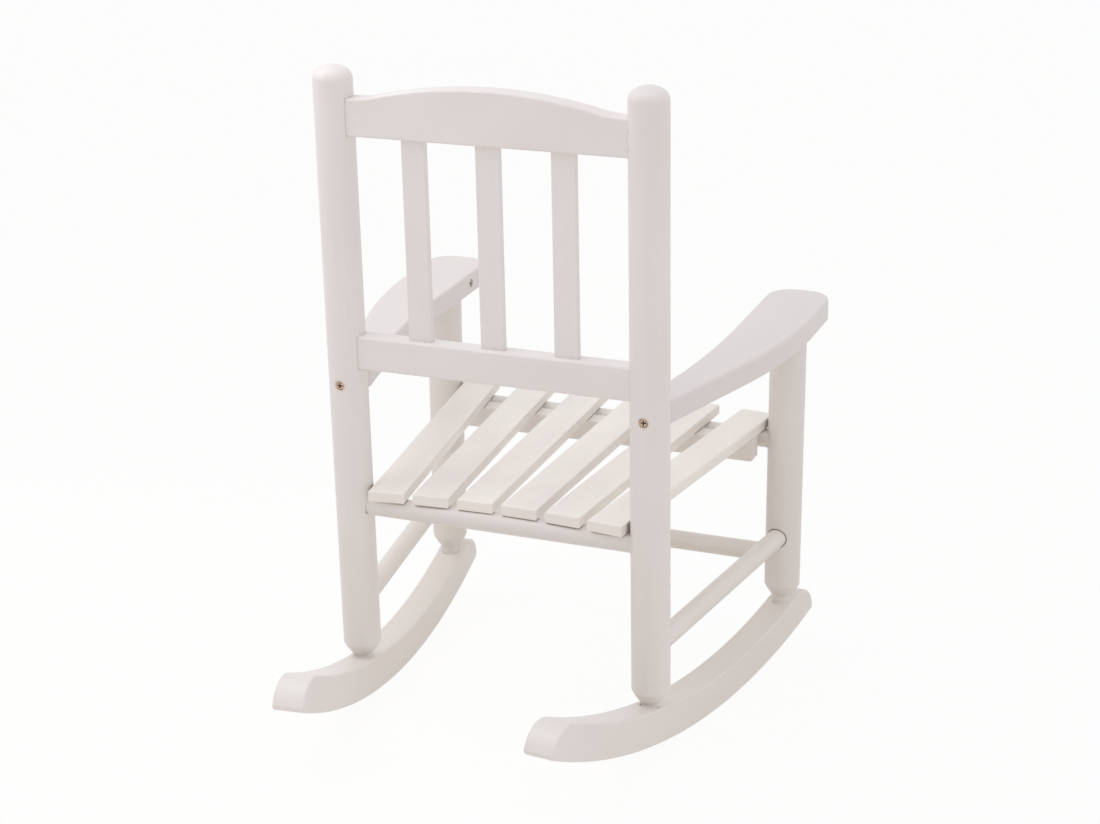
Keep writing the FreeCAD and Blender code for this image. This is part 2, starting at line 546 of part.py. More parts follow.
# Seat slats fan out towards the front and lie on both seat rails
for place, step in enumerate(SEAT_STEPS, 1):
    rear_end = f"sizes.seat_overhang + sizes.seat_bow * {step ** 2}"
    slat = board(f"seat_slat_{place}_blank", "XY_Plane", rectangle(
        "-sizes.seat_slat_width / 2", "sizes.seat_slat_width / 2",
        f"{rear_end} - sizes.seat_slat_length", rear_end,
    ), "sizes.seat_slat_thickness", "sizes.slat_ease",
        at(SEAT, f"{step} * sizes.seat_pitch_rear", z="sizes.seat_slat_thickness / 2",
           turn=f"rotation(atan({step} * layout.seat_fan); 0; 0)"))
    carved(f"seat_slat_{place}", slat, batten_holes, seat_rail_holes)
batten = board("batten_blank", "XY_Plane", rectangle(
    "-sizes.batten_length / 2", "sizes.batten_length / 2",
    "-sizes.batten_depth / 2", "sizes.batten_depth / 2",
), "sizes.batten_height", "sizes.slat_ease", at(SEAT, y="layout.batten_y", z="-sizes.batten_height / 2"))
carved("seat_batten", batten, batten_holes)


def foot(base):
    """Turned foot of a post: tenon, neck and rounded taper up to the full shaft."""
    neck_top = f"{base} + sizes.foot_socket + sizes.neck_show"
    return [
        ("0", base, STRAIGHT),
        ("layout.neck_radius", base, STRAIGHT),
        ("layout.neck_radius", neck_top, (1, "sizes.foot_curve")),
        ("layout.post_radius", f"{neck_top} + sizes.foot_taper", STRAIGHT),
    ]


# Posts, rockers and arms, which are alike on both sides
for side, sign in SIDES:
    rear_x = f"{sign} * layout.rear_half"
    front_x = f"{sign} * layout.front_half"

    back_post = turned(f"back_post_{side}_blank", foot("layout.rear_foot") + [
        ("layout.post_radius", "sizes.rear_post_top - layout.dome_height", (1, "sizes.dome_corner")),
        ("layout.dome_join_x", "layout.dome_join_z", (1, "layout.dome_curve")),
        ("0", "sizes.rear_post_top", STRAIGHT),
    ])
    back_post.setExpression("Placement", at(BACK, rear_x))
    carved(f"back_post_{side}", back_post, crest_room, lower_rail_room, rear_rail_room,
           side_rooms[side], arm_rear_holes, rocker_holes)

    # the head of a front post is cut to the slope of the arm, around its tenon
    front_post = turned(f"front_post_{side}_blank", foot("layout.front_foot") + [
        ("layout.post_radius", "layout.front_post_top", STRAIGHT),
        ("0", "layout.front_post_top", STRAIGHT),
    ])
    front_post.setExpression("Placement", at(FRONT, front_x))
    tenon_start = at(FRONT, front_x, z="layout.arm_under - layout.post_radius")
    tenon_length = "layout.post_radius + sizes.arm_socket + sizes.end_gap"
    tenon = rod(f"front_post_{side}_tenon", "layout.neck_radius", tenon_length, tenon_start)
    tenon_room = rod(f"front_post_{side}_tenon_room", "layout.neck_radius + sizes.fit_gap",
                     tenon_length, tenon_start)
    above_shoulder = block(f"front_post_{side}_above", "2 * sizes.post_diameter", "2 * sizes.post_diameter",
                           "sizes.post_diameter", at(ARM, front_x, z="-sizes.arm_thickness"))
    head_waste = doc.addObject("Part::Cut", f"front_post_{side}_head_waste")
    head_waste.Base = above_shoulder
    head_waste.Tool = tenon
    carved(f"front_post_{side}", front_post, head_waste, front_rail_room, stretcher_room,
           side_rooms[side], arm_front_holes, rocker_holes)

    rocker = board(f"rocker_{side}_blank", "XZ_Plane", [
        ("-sizes.heel_reach", "layout.heel_z", (1, "sizes.rocker_radius")),
        ("sizes.toe_reach", "layout.toe_z", STRAIGHT),
        ("layout.toe_upper_x", "layout.toe_upper_z", (-1, "layout.upper_radius")),
        ("layout.heel_upper_x", "layout.heel_upper_z", STRAIGHT),
    ], "sizes.rocker_width", "sizes.board_ease",
        at(ROOM, f"{sign} * layout.contact_x", "layout.contact_y",
           turn=f"rotation({sign} * layout.splay - 90 deg; 0; 0)"),
        [("layout.heel_upper_x", "layout.heel_upper_z", "sizes.heel_round"),
         ("layout.toe_upper_x", "layout.toe_upper_z", "sizes.toe_round"),
         ("-sizes.heel_reach", "layout.heel_z", "sizes.tip_round"),
         ("sizes.toe_reach", "layout.toe_z", "sizes.tip_round")])
    foot_length = "2 * sizes.foot_socket + sizes.rocker_depth"
    rear_foot_room = rod(f"rocker_{side}_rear_socket", "layout.neck_radius + sizes.fit_gap", foot_length,
                         at(BACK, rear_x, z="layout.rear_foot"))
    front_foot_room = rod(f"rocker_{side}_front_socket", "layout.neck_radius + sizes.fit_gap", foot_length,
                          at(FRONT, front_x, z="layout.front_foot"))
    carved(f"rocker_{side}", rocker, rear_foot_room, front_foot_room, rocker_holes)

    arm = board(f"arm_{side}_blank", "XY_Plane", [
        (f"{sign} * (layout.arm_inner + sizes.arm_nose_round)", "-sizes.arm_nose", STRAIGHT),
        (f"{sign} * (layout.arm_outer - sizes.arm_nose_round)", "-sizes.arm_nose",
         (sign, "sizes.arm_nose_round")),
        (f"{sign} * layout.arm_outer", "layout.arm_nose_back", STRAIGHT),
        (f"{sign} * layout.arm_outer", "sizes.arm_outer_start", (sign, "sizes.arm_outer_curve")),
        (f"{sign} * layout.outer_join_x", "layout.outer_join_y", STRAIGHT),
        (f"{sign} * layout.arm_rear_outer", "layout.arm_end", STRAIGHT),
        (f"{sign} * layout.arm_rear_inner", "layout.arm_end", (-sign, "layout.inner_curve")),
        (f"{sign} * layout.arm_inner", "sizes.arm_inner_start", STRAIGHT),
        (f"{sign} * layout.arm_inner", "layout.arm_nose_back", (sign, "sizes.arm_nose_round")),
    ], "sizes.arm_thickness", "sizes.arm_ease", at(ARM, z="-sizes.arm_thickness / 2"),
        [(f"{sign} * layout.arm_rear_outer", "layout.arm_end", "sizes.arm_rear_round"),
         (f"{sign} * layout.arm_rear_inner", "layout.arm_end", "sizes.arm_rear_round")])
    post_room = rod(f"arm_{side}_hollow", "layout.post_radius + sizes.fit_gap", "sizes.rear_post_top",
                    at(BACK, rear_x))
    carved(f"arm_{side}", arm, post_room, tenon_room, arm_rear_holes, arm_front_holes)

doc.recompute()

for item in doc.Objects:
    if "Invalid" in item.State or "Error" in item.State:
        raise RuntimeError(f"{item.Name} was not made: {item.State}")
for piece in pieces:
    if piece.Shape.isNull() or not piece.Shape.isValid() or not piece.Shape.Solids:
        raise RuntimeError(f"{piece.Label} has no sound shape")

os.makedirs("parts", exist_ok=True)
for piece in pieces:
    piece.Shape.exportStep(os.path.join("parts", piece.Label + ".step"))
    print(f"{piece.Label}: {len(piece.Shape.Solids)} solids, {piece.Shape.Volume:.0f} cubic mm")
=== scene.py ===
import math

import bpy
from bpy.props import FloatProperty, FloatVectorProperty, PointerProperty
from mathutils import Matrix, Vector


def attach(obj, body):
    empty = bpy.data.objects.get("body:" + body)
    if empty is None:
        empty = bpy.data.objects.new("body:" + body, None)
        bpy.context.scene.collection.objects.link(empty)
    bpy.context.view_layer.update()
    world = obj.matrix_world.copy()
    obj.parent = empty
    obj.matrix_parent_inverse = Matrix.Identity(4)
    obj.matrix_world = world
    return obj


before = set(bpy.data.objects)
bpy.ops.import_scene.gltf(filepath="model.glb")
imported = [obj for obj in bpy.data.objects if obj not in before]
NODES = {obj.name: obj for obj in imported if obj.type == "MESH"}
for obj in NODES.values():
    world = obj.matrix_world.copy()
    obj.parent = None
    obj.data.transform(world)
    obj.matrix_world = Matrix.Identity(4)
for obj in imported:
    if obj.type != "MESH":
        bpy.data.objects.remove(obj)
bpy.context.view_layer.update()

bl_info = {
    "name": "Child's Rocking Chair",
    "version": (1, 0, 0),
    "blender": (4, 5, 0),
    "location": "View3D > Sidebar > Rocking Chair",
    "description": "Finishes a slat-back child's rocking chair in white enamel",
    "category": "Object",
}

MM = 0.001
SIDES = (("left", 1), ("right", -1))

# Directions of the chair, as the solids have them: the sitter faces -Y, with +X on their left
REAR_LEAN = math.radians(7.19)
FRONT_LEAN = math.radians(5.69)
SEAT_SLOPE = math.radians(6.71)
ARM_SLOPE = math.radians(8.24)
SPLAY = math.radians(7.76)
ACROSS = Vector((1, 0, 0))
REAR_UP = Vector((0, math.sin(REAR_LEAN), math.cos(REAR_LEAN)))
FRONT_UP = Vector((0, math.sin(FRONT_LEAN), math.cos(FRONT_LEAN)))
ARM_BACK = Vector((0, math.cos(ARM_SLOPE), -math.sin(ARM_SLOPE)))
SEAT_BACK = Vector((0, math.cos(SEAT_SLOPE), -math.sin(SEAT_SLOPE)))

# Posts: where their axes meet the floor, and their thickness
REAR_X = 135.45 * MM
REAR_Y = 56.71 * MM
FRONT_X = 171.75 * MM
FRONT_Y = -209.81 * MM
POST_RADIUS = 16.5 * MM

# Places along a post's axis, from the floor, where other pieces meet it
SIDE_STRETCHER_REAR = 88.43 * MM
SIDE_STRETCHER_FRONT = 124.09 * MM
FRONT_STRETCHER = 101.59 * MM
REAR_SEAT_RAIL = 184.43 * MM
FRONT_SEAT_RAIL = 215.59 * MM
ARM_REAR_SCREW = 297.5 * MM
LOWER_RAIL = 325.18 * MM
CREST_RAIL = 525.93 * MM

# Rings of the joints: where they start, clear of the wood that they are then laid on
POST_START = 24 * MM
REAR_FOOT_START = 62 * MM
FRONT_FOOT_START = 78 * MM
ARM_START = 296 * MM
SLAT_FOOT_START = 348 * MM
SLAT_TOP_START = 502 * MM
SLAT_SPACING = 65 * MM

# Rings of the joints: radius of the round ones, height and width of the square ones
RUNG_RING = 9.2 * MM
FOOT_RING = 9.3 * MM
POST_TOP_RING = 16.9 * MM
CREST_RING = (32.1 * MM, 17.7 * MM)
LOWER_RAIL_RING = (29.8 * MM, 17.7 * MM)
SLAT_RING = (21.6 * MM, 7.1 * MM)
RING_STEPS = 56
RING_CORNER = 1.6 * MM

# Sizes of the patterns in the finishes
GROWTH_LINE_STRETCH = 30
CLOUD_STRETCH = 2.2
PEEL_SIZE = 2 * MM
SPECK_SPACING = 14 * MM
STAIN_WIDTH = 2.5 * MM
RUN_SIZE = 9 * MM
BLOTCH_SIZE = 1.6 * MM
TARNISH_REACH = 1.5 * MM

# Typical index of refraction of enamel and of dry wood
IOR = 1.5

# Sockets of a Mix node that mixes colours
FACTOR, FIRST, SECOND, RESULT = 0, 6, 7, 2

# Stage: the camera's axes and place were fitted to the chair's corners
CAMERA_RIGHT = Vector((-0.92696, -0.37410, 0.02811))
CAMERA_UP = Vector((0.11499, -0.21200, 0.97049))
CAMERA_BACK = Vector((-0.35710, 0.90283, 0.23953))
CAMERA_PLACE = (-0.6953, 1.7282, 0.7220)
FILM_WIDTH = 36
KEY_PLACE = Vector((0.6, 0.3, 1.0))
KEY_AIM = Vector((0, -0.05, 0.2))
FILL_PLACE = Vector((-1.2, 0.75, 2.4))
FILL_SPREAD = math.radians(60)
FLOOR_WIDTH = 60
FLOOR_DROP = 0.2 * MM


def linear(code):
    """A hex colour, as a paint chart gives it, in the linear values that a shader takes."""
    parts = [int(code[place:place + 2], 16) / 255 for place in (1, 3, 5)]
    return tuple(part / 12.92 if part <= 0.04045 else ((part + 0.055) / 1.055) ** 2.4 for part in parts)


def rear_point(sign, along):
    """A place on the axis of a rear post, that far along it from the floor."""
    return Vector((sign * REAR_X, REAR_Y, 0)) + REAR_UP * along


def front_point(sign, along):
    """A place on the axis of a front post, that far along it from the floor."""
    return Vector((sign * FRONT_X, FRONT_Y, 0)) + FRONT_UP * along


def side_ends(sign):
    """The two ends of a side stretcher's axis, on the axes of its posts."""
    return rear_point(sign, SIDE_STRETCHER_REAR), front_point(sign, SIDE_STRETCHER_FRONT)


class EnamelSettings(bpy.types.PropertyGroup):
    """White enamel over sanded hardwood"""

    coat: FloatVectorProperty(
        name="Coat", description="Colour of the enamel where it lies full",
        subtype="COLOR", size=3, min=0, max=1, default=linear("#E9E4E3"))
    thin_coat: FloatVectorProperty(
        name="Thin Coat", description="Colour of the enamel where the wood warms it from below",
        subtype="COLOR", size=3, min=0, max=1, default=linear("#E5DEDB"))
    # Seat Coat is painted light: paler than the coat, so the seat looks lit where the back and arms shade
    # it
    seat_lit_coat: FloatVectorProperty(
        name="Seat Coat", description="Colour of the enamel on the seat, rubbed paler by use",
        subtype="COLOR", size=3, min=0, max=1, default=linear("#F4EFE8"))
    # Arm Coat is painted shade: darker than the coat, on the arms and the rear rail
    arm_shade_coat: FloatVectorProperty(
        name="Arm Coat", description="Colour of the enamel on the arms and the rear rail, greyed by hands",
        subtype="COLOR", size=3, min=0, max=1, default=linear("#DED8D8"))
    # Aged Coat is painted shade and warm bounce light: darker and warmer low down and in front
    low_warm_shade_coat: FloatVectorProperty(
        name="Aged Coat", description="Colour of the enamel low down and in front, where it has yellowed",
        subtype="COLOR", size=3, min=0, max=1, default=linear("#DFD9D3"))
    growth_line: FloatVectorProperty(
        name="Growth Lines", description="Colour that the wood's growth lines lend the enamel",
        subtype="COLOR", size=3, min=0, max=1, default=linear("#D8CBC1"))
    # Joint Dust colours the dusty patches of the pooled enamel, and the darkened joint corners, which are
    # dust and painted shade
    dust_and_shade: FloatVectorProperty(
        name="Joint Dust", description="Colour that handling leaves in the corners of the joints",
        subtype="COLOR", size=3, min=0, max=1, default=linear("#A2948A"))
    speck: FloatVectorProperty(
        name="Specks", description="Colour of the few specks caught in the enamel",
        subtype="COLOR", size=3, min=0, max=1, default=linear("#8C7D70"))
    # Crevice colours the cracks in the pooled enamel and the dark rings of painted shadow at the side
    # stretchers' front ends
    crack_and_gap_shadow: FloatVectorProperty(
        name="Crevice", description="Colour of the lines where the enamel has cracked at a joint",
        subtype="COLOR", size=3, min=0, max=1, default=linear("#5E4C3E"))
    bare_edge: FloatVectorProperty(
        name="Bare Edge", description="Colour of the coat where a screw's countersink broke it",
        subtype="COLOR", size=3, min=0, max=1, default=linear("#DDC3AC"))
    cloud_size: FloatProperty(
        name="Cloud Size", description="Size of the faint clouds in the colour",
        unit="LENGTH", subtype="DISTANCE", min=0.005, default=45 * MM)
    grain_width: FloatProperty(
        name="Grain Width", description="Spacing of the growth lines that show through",
        unit="LENGTH", subtype="DISTANCE", min=0.0005, default=3.2 * MM)
    # Dust Reach is how far the darkening of dust and painted shade reaches out of a corner
    dust_and_shade_reach: FloatProperty(
        name="Dust Reach", description="How far the joint dust spreads from a corner",
        unit="LENGTH", subtype="DISTANCE", min=0.0005, default=5 * MM)


class JointSettings(bpy.types.PropertyGroup):
    """Enamel that pools round the joints, and dark rings of painted shadow where it leaves an open line"""

    rung_bead: FloatProperty(
        name="Rung Bead", description="Half the thickness of the bead round a rung",
        unit="LENGTH", subtype="DISTANCE", min=0.0001, default=0.6 * MM)
    foot_bead: FloatProperty(
        name="Foot Bead", description="Half the thickness of the bead round a post's foot or top",
        unit="LENGTH", subtype="DISTANCE", min=0.0001, default=0.5 * MM)
    rail_bead: FloatProperty(
        name="Rail Bead", description="Half the thickness of the bead round a rail or an upright slat",
        unit="LENGTH", subtype="DISTANCE", min=0.0001, default=0.4 * MM)
    # Stretcher Gap sets the dark ring of painted shadow round each side stretcher's front end
    gap: FloatProperty(
        name="Stretcher Gap", description="Half the width of the open line round a stretcher's front end",
        unit="LENGTH", subtype="DISTANCE", min=0.0001, default=0.32 * MM)


class ScrewSettings(bpy.types.PropertyGroup):
    """Brass screws"""

    head: FloatProperty(
        name="Head", description="Diameter of a screw's head, which the stain round it starts from",
        unit="LENGTH", subtype="DISTANCE", min=0.002, default=8 * MM)
    brass: FloatVectorProperty(
        name="Brass", description="Colour of the bare metal",
        subtype="COLOR", size=3, min=0, max=1, default=linear("#D2B9A2"))
    misted: FloatVectorProperty(
        name="Misted Brass", description="Colour of the arms' front screws, which caught a mist of enamel",
        subtype="COLOR", size=3, min=0, max=1, default=linear("#D0C5B9"))
    tarnish: FloatVectorProperty(
        name="Tarnish", description="Colour of the metal in the cross and round the rim",
        subtype="COLOR", size=3, min=0, max=1, default=linear("#351A0B"))


class StageSettings(bpy.types.PropertyGroup):
    """Floor, light and camera"""

    floor: FloatVectorProperty(
        name="Floor", description="Colour of the floor",
        subtype="COLOR", size=3, min=0, max=1, default=linear("#FDF9F3"))
    floor_white: FloatProperty(
        name="Floor White", description="Share of plain white in what the camera sees of the floor",
        subtype="FACTOR", min=0, max=1, default=0.9)
    room_light: FloatProperty(
        name="Room Light", description="Strength of the even light from all round", min=0, default=0.6)
    room_tint: FloatVectorProperty(
        name="Room Tint", description="Colour of the even light, a little cooler than the lamps",
        subtype="COLOR", size=3, min=0, max=1, default=linear("#FDFCFF"))
    key_light: FloatProperty(
        name="Key Light", description="Power of the soft lamp above the left of the picture",
        unit="POWER", min=0, default=2.8)
    key_size: FloatProperty(
        name="Key Size", description="Width of the soft lamp",
        unit="LENGTH", subtype="DISTANCE", min=0.1, default=0.9)
    fill_light: FloatProperty(
        name="Fill Light", description="Strength of the broad light from above the right of the picture",
        min=0, default=0.8)
    lens: FloatProperty(
        name="Lens", description="Focal length of the camera",
        unit="CAMERA", subtype="DISTANCE_CAMERA", min=1, default=72.37)


def add_node(tree, kind, setup=None, inputs=None):
    """A shader node with its settings, and its inputs linked or set."""
    made = tree.nodes.new(kind)
    for key, value in (setup or {}).items():
        setattr(made, key, value)
    for key, value in (inputs or {}).items():
        if isinstance(value, bpy.types.NodeSocket):
            tree.links.new(value, made.inputs[key])
        else:
            made.inputs[key].default_value = value
    return made


def empty_material(name):
    """A material with nothing in it but its output."""
    material = bpy.data.materials.new(name)
    material.use_nodes = True
    tree = material.node_tree
    tree.nodes.clear()
    return material, tree, add_node(tree, "ShaderNodeOutputMaterial")


def wood_patterns(tree, place, grain):
    """Growth lines along the grain, and the clouds of an uneven coat."""
    settings = bpy.context.scene.chair_enamel
    turn = ACROSS.rotation_difference(grain).to_euler()
    line_place = add_node(tree, "ShaderNodeMapping", {"vector_type": "TEXTURE"}, {
        "Vector": place, "Rotation": turn, "Scale": (GROWTH_LINE_STRETCH, 1, 1)})
    lines = add_node(tree, "ShaderNodeTexNoise", None, {
        "Vector": line_place.outputs["Vector"], "Scale": 1 / settings.grain_width,
        "Detail": 3, "Roughness": 0.55, "Distortion": 0.3})
    cloud_place = add_node(tree, "ShaderNodeMapping", {"vector_type": "TEXTURE"}, {
        "Vector": place, "Rotation": turn, "Scale": (CLOUD_STRETCH, 1, 1)})
    clouds = add_node(tree, "ShaderNodeTexNoise", None, {
        "Vector": cloud_place.outputs["Vector"], "Scale": 1 / settings.cloud_size,
        "Detail": 3, "Roughness": 0.5})
    return lines.outputs["Fac"], clouds.outputs["Fac"]


def end_grain(tree, grain):
    """One on faces sawn across the grain, and nought on the others."""
    geometry = add_node(tree, "ShaderNodeNewGeometry")
    facing = add_node(tree, "ShaderNodeVectorMath", {"operation": "DOT_PRODUCT"}, {
        0: geometry.outputs["True Normal"], 1: grain})
    square_on = add_node(tree, "ShaderNodeMath", {"operation": "ABSOLUTE"}, {0: facing.outputs["Value"]})
    sawn = add_node(tree, "ShaderNodeMapRange", None, {
        "Value": square_on.outputs[0], "From Min": 0.93, "From Max": 0.99})
    return sawn.outputs["Result"]


def coat_tone(tree, place, lines, clouds, colours, low_shade):
    """The coat's colour, from full to thin in clouds, darker and warmer low down and in front as painted
    shade and warm bounce light, and streaked by growth lines.
    """
    settings = bpy.context.scene.chair_enamel
    full, thin = colours
    cloudy = add_node(tree, "ShaderNodeMapRange", None, {
        "Value": clouds, "From Min": 0.34, "From Max": 0.66})
    coat = add_node(tree, "ShaderNodeMix", {"data_type": "RGBA"}, {
        FACTOR: cloudy.outputs["Result"], FIRST: (*full, 1), SECOND: (*thin, 1)})
    # Painted shade and warm bounce light: the coat goes darker and warmer low down and in front, over half
    # a metre from the crest to the toes
    low = add_node(tree, "ShaderNodeVectorMath", {"operation": "DOT_PRODUCT"}, {
        0: place, 1: (0, -1, -1)})
    lowness = add_node(tree, "ShaderNodeMapRange", None, {
        "Value": low.outputs["Value"], "From Min": -450 * MM, "From Max": 50 * MM, "To Max": low_shade})
    low_shaded = add_node(tree, "ShaderNodeMix", {"data_type": "RGBA"}, {
        FACTOR: lowness.outputs["Result"], FIRST: coat.outputs[RESULT], SECOND: (*settings.low_warm_shade_coat, 1)})
    streak = add_node(tree, "ShaderNodeMapRange", None, {
        "Value": lines, "From Min": 0.5, "From Max": 0.78, "To Max": 0.08})
    streaked = add_node(tree, "ShaderNodeMix", {"data_type": "RGBA"}, {
        FACTOR: streak.outputs["Result"], FIRST: low_shaded.outputs[RESULT],
        SECOND: (*settings.growth_line, 1)})
    return streaked.outputs[RESULT]


def dust_and_shade_tone(tree, clouds, tone, soil_and_shade):
    """A colour darkened in patches in the corners of the joints, partly by dust and partly by painted
    shade.
    """
    settings = bpy.context.scene.chair_enamel
    # Ambient occlusion finds the corners: the darkening there is painted shade as well as dust
    corner = add_node(tree, "ShaderNodeAmbientOcclusion", {"samples": 8}, {
        "Distance": settings.dust_and_shade_reach})
    deep_corner_shade = add_node(tree, "ShaderNodeMapRange", None, {
        "Value": corner.outputs["AO"], "From Min": 0.62, "From Max": 0.2})
    patch = add_node(tree, "ShaderNodeMapRange", None, {
        "Value": clouds, "From Min": 0.35, "From Max": 0.7, "To Min": 0.25, "To Max": 0.8})
    soiled_and_shaded = add_node(tree, "ShaderNodeMath", {"operation": "MULTIPLY"}, {
        0: patch.outputs["Result"], 1: soil_and_shade})
    dust_and_shade_mask = add_node(tree, "ShaderNodeMath", {"operation": "MULTIPLY", "use_clamp": True}, {
        0: deep_corner_shade.outputs["Result"], 1: soiled_and_shaded.outputs[0]})
    dusted_and_shaded = add_node(tree, "ShaderNodeMix", {"data_type": "RGBA"}, {
        FACTOR: dust_and_shade_mask.outputs[0], FIRST: tone, SECOND: (*settings.dust_and_shade, 1)})
    return dusted_and_shaded.outputs[RESULT]


def flecked_tone(tree, place, tone):
    """A colour with a soft speck, about 1 mm wide, in one cell in thirty of a pattern."""
    settings = bpy.context.scene.chair_enamel
    cells = add_node(tree, "ShaderNodeTexVoronoi", None, {"Vector": place, "Scale": 1 / SPECK_SPACING})
    chance = add_node(tree, "ShaderNodeSeparateColor", None, {"Color": cells.outputs["Color"]})
    rare = add_node(tree, "ShaderNodeMath", {"operation": "GREATER_THAN"}, {
        0: chance.outputs["Red"], 1: 0.965})
    near = add_node(tree, "ShaderNodeMapRange", None, {
        "Value": cells.outputs["Distance"], "From Min": 0.045, "From Max": 0.02, "To Max": 0.3})
    speck = add_node(tree, "ShaderNodeMath", {"operation": "MULTIPLY"}, {
        0: near.outputs["Result"], 1: rare.outputs[0]})
    flecked = add_node(tree, "ShaderNodeMix", {"data_type": "RGBA"}, {
        FACTOR: speck.outputs[0], FIRST: tone, SECOND: (*settings.speck, 1)})
    return flecked.outputs[RESULT]


def stained_tone(tree, place, tone, screws):
    """A colour with a warm ring round each screw, where its countersink broke the coat."""
    settings = bpy.context.scene.chair_enamel
    rim = bpy.context.scene.chair_screws.head / 2
    for screw in screws:
        reach = add_node(tree, "ShaderNodeVectorMath", {"operation": "DISTANCE"}, {0: place, 1: screw})
        ring = add_node(tree, "ShaderNodeMapRange", None, {
            "Value": reach.outputs["Value"], "From Min": rim + STAIN_WIDTH, "From Max": rim,
            "To Max": 0.45})
        stained = add_node(tree, "ShaderNodeMix", {"data_type": "RGBA"}, {
            FACTOR: ring.outputs["Result"], FIRST: tone, SECOND: (*settings.bare_edge, 1)})
        tone = stained.outputs[RESULT]
    return tone


def sprayed_enamel(name, grain, coat_colour, screws=(), soil_and_shade=1.0, low_shade=1.0):
    """Satin white enamel, sprayed over sanded hardwood.

    The eye gets a soft sheen, faint warm clouds where the coat is thin, growth lines that are
    felt more than seen along the grain, thirsty end grain, a little dust and painted shade in the
    corners of the joints, painted shade and warm bounce light low down and in front, and a speck
    here and there.
    """
    settings = bpy.context.scene.chair_enamel
    # Where the coat is thin it goes about half of the way to the colour that the wood gives it
    thin_coat = [0.45 * full + 0.55 * thin for full, thin in zip(coat_colour, settings.thin_coat)]
    material, tree, output = empty_material(name)
    place = add_node(tree, "ShaderNodeTexCoord").outputs["Object"]
    lines, clouds = wood_patterns(tree, place, grain)
    sawn = end_grain(tree, grain)
    tone = coat_tone(tree, place, lines, clouds, (coat_colour, thin_coat), low_shade)
    # Sawn ends soak up the coat, and it is thinner and duller there
    thirsty = add_node(tree, "ShaderNodeMath", {"operation": "MULTIPLY"}, {0: sawn, 1: 0.45})
    soaked = add_node(tree, "ShaderNodeMix", {"data_type": "RGBA"}, {
        FACTOR: thirsty.outputs[0], FIRST: tone, SECOND: (*thin_coat, 1)})
    # Dust and painted shade darken the corners of the joints
    tone = dust_and_shade_tone(tree, clouds, soaked.outputs[RESULT], soil_and_shade)
    tone = flecked_tone(tree, place, tone)
    tone = stained_tone(tree, place, tone, screws)
    gloss = add_node(tree, "ShaderNodeMapRange", None, {
        "Value": clouds, "From Min": 0.3, "From Max": 0.7, "To Min": 0.36, "To Max": 0.46})
    dull = add_node(tree, "ShaderNodeMath", {"operation": "MULTIPLY_ADD"}, {
        0: sawn, 1: 0.15, 2: gloss.outputs["Result"]})
    # Orange peel of a sprayed coat is about 1 mm across, drawn at 2 mm so that it shows
    peel = add_node(tree, "ShaderNodeTexNoise", None, {
        "Vector": place, "Scale": 1 / PEEL_SIZE, "Detail": 1.5, "Roughness": 0.5})
    raised = add_node(tree, "ShaderNodeBump", None, {
        "Height": lines, "Strength": 0.12, "Distance": 0.25 * MM})
    skin = add_node(tree, "ShaderNodeBump", None, {
        "Height": peel.outputs["Fac"], "Strength": 0.25, "Distance": 0.12 * MM,
        "Normal": raised.outputs["Normal"]})
    surface = add_node(tree, "ShaderNodeBsdfPrincipled", None, {
        "Base Color": tone, "Roughness": dull.outputs[0], "IOR": IOR,
        "Normal": skin.outputs["Normal"]})
    tree.links.new(surface.outputs["BSDF"], output.inputs["Surface"])
    return material


def pooled_enamel(name, cracks):
    """White enamel that ran into the corners of the joints and set there.

    It is smoother and a shade warmer than the boards, dust has greyed it in places, and here and
    there it has cracked away from the post and shows a dark line.
    """
    settings = bpy.context.scene.chair_enamel
    material, tree, output = empty_material(name)
    place = add_node(tree, "ShaderNodeTexCoord").outputs["Object"]
    runs = add_node(tree, "ShaderNodeTexNoise", None, {
        "Vector": place, "Scale": 1 / RUN_SIZE, "Detail": 3, "Roughness": 0.6})
    grey = add_node(tree, "ShaderNodeMapRange", None, {
        "Value": runs.outputs["Fac"], "From Min": 0.5, "From Max": 0.75, "To Max": 0.35})
    tint = add_node(tree, "ShaderNodeMix", {"data_type": "RGBA"}, {
        FACTOR: grey.outputs["Result"], FIRST: (*settings.thin_coat, 1), SECOND: (*settings.dust_and_shade, 1)})
    crack = add_node(tree, "ShaderNodeMapRange", None, {
        "Value": runs.outputs["Fac"], "From Min": 0.58, "From Max": 0.64, "To Max": cracks})
    cracked = add_node(tree, "ShaderNodeMix", {"data_type": "RGBA"}, {
        FACTOR: crack.outputs["Result"], FIRST: tint.outputs[RESULT], SECOND: (*settings.crack_and_gap_shadow, 1)})
    uneven = add_node(tree, "ShaderNodeBump", None, {
        "Height": runs.outputs["Fac"], "Strength": 0.4, "Distance": 0.3 * MM})
    surface = add_node(tree, "ShaderNodeBsdfPrincipled", None, {
        "Base Color": cracked.outputs[RESULT], "Roughness": 0.4, "IOR": IOR,
        "Normal": uneven.outputs["Normal"]})
    tree.links.new(surface.outputs["BSDF"], output.inputs["Surface"])
    return material


def gap_shadow_finish():
    """A painted shadow in a drilled socket, where a rung stands clear of its edge.

    The eye gets a thin dark line of painted shadow, with no shine.
    """
    settings = bpy.context.scene.chair_enamel
    material, tree, output = empty_material("painted_gap_shadow")
    surface = add_node(tree, "ShaderNodeBsdfPrincipled", None, {
        "Base Color": (*settings.crack_and_gap_shadow, 1), "Roughness": 0.9, "IOR": IOR})
    tree.links.new(surface.outputs["BSDF"], output.inputs["Surface"])
    return material


